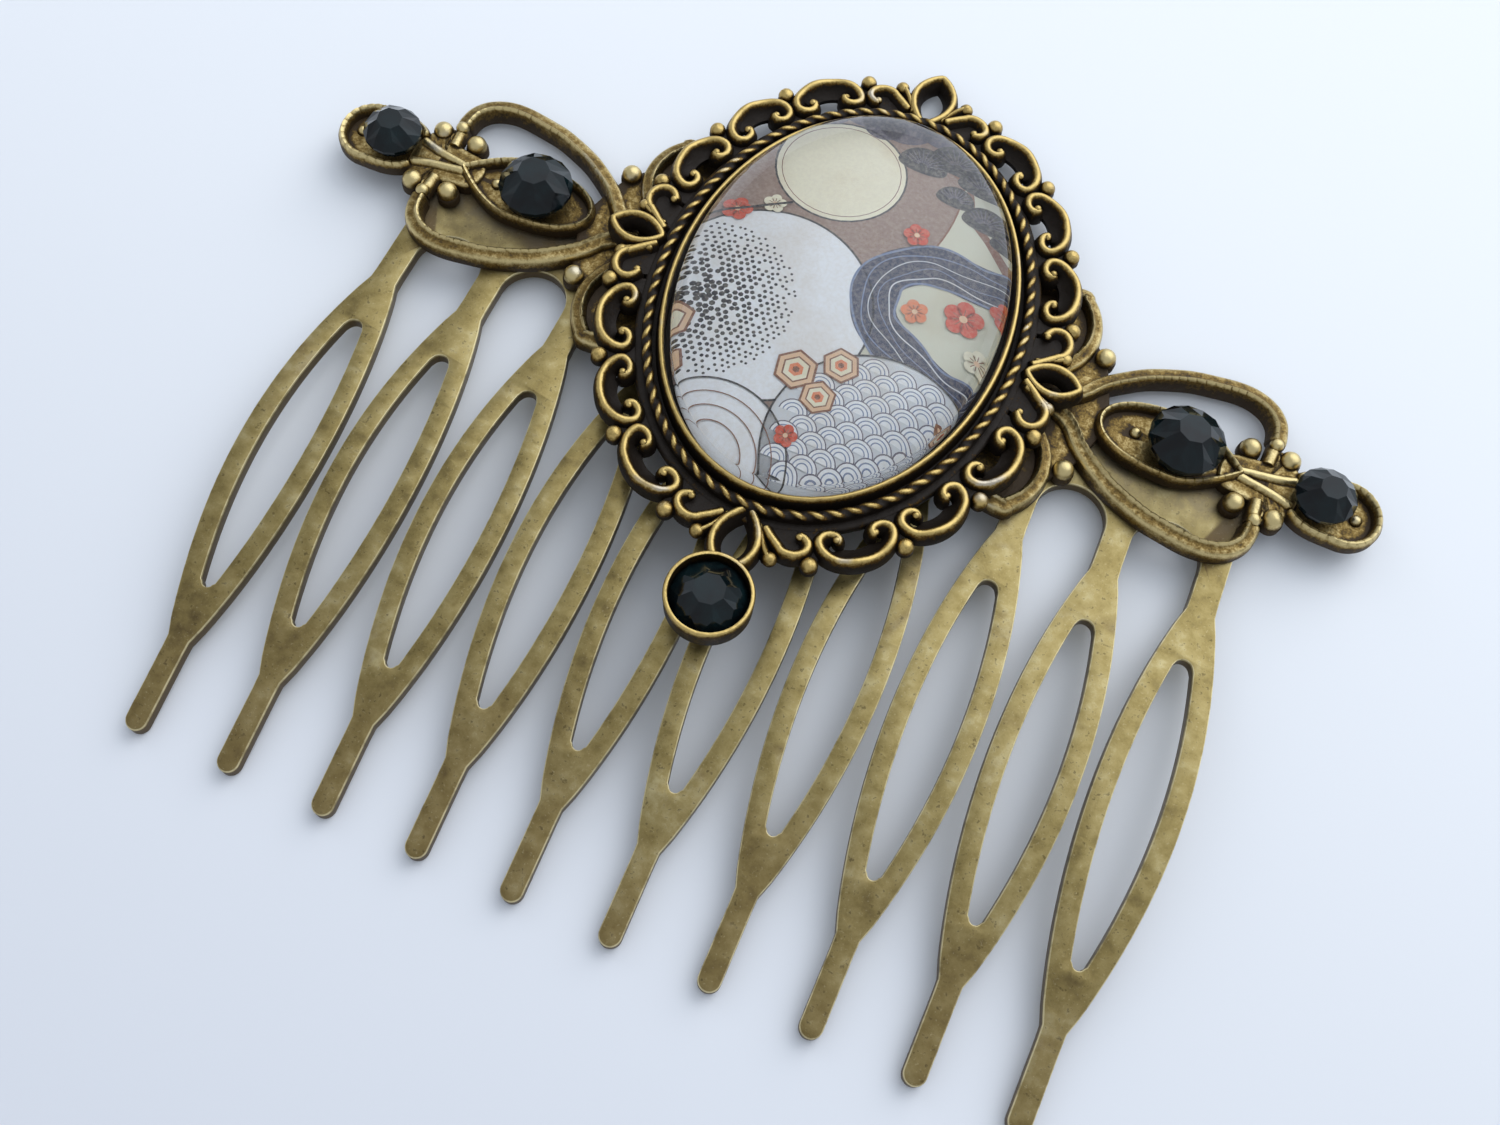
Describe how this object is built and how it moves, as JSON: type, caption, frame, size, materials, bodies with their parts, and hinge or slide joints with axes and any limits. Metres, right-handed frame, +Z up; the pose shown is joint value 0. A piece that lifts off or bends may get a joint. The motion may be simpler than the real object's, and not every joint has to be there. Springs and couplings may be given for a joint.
{
  "type": "kushi comb",
  "caption": "Antique brass kushi comb with looped teeth, filigree wings, five black faceted stones and an oval glass cameo over a patterned card",
  "frame": {"origin": "middle of the surface the comb lies on, under the middle of its bounding box", "axes": "+X along the spine towards the picture's right, +Y from the tooth tips to the top of the oval frame, +Z up from the surface, out of the decorated face"},
  "size_m": [0.064, 0.0545, 0.008],
  "materials": {
    "comb_brass": "worn antique, mottled olive and brown",
    "wing_brass": "worn antique",
    "cast_brass": "dark patina with rubbed ridges",
    "printed_card": "printed pattern",
    "dome_glass": "polished clear",
    "jet": "polished facets"
  },
  "bodies": {
    "root": {"comb": "comb_brass", "filigree": "wing_brass", "setting": "cast_brass", "print": "printed_card", "cabochon": "dome_glass", "stone_bottom": "jet", "stone_wing_left": "jet", "stone_wing_right": "jet", "stone_tip_left": "jet", "stone_tip_right": "jet"}
  },
  "joints": []
}
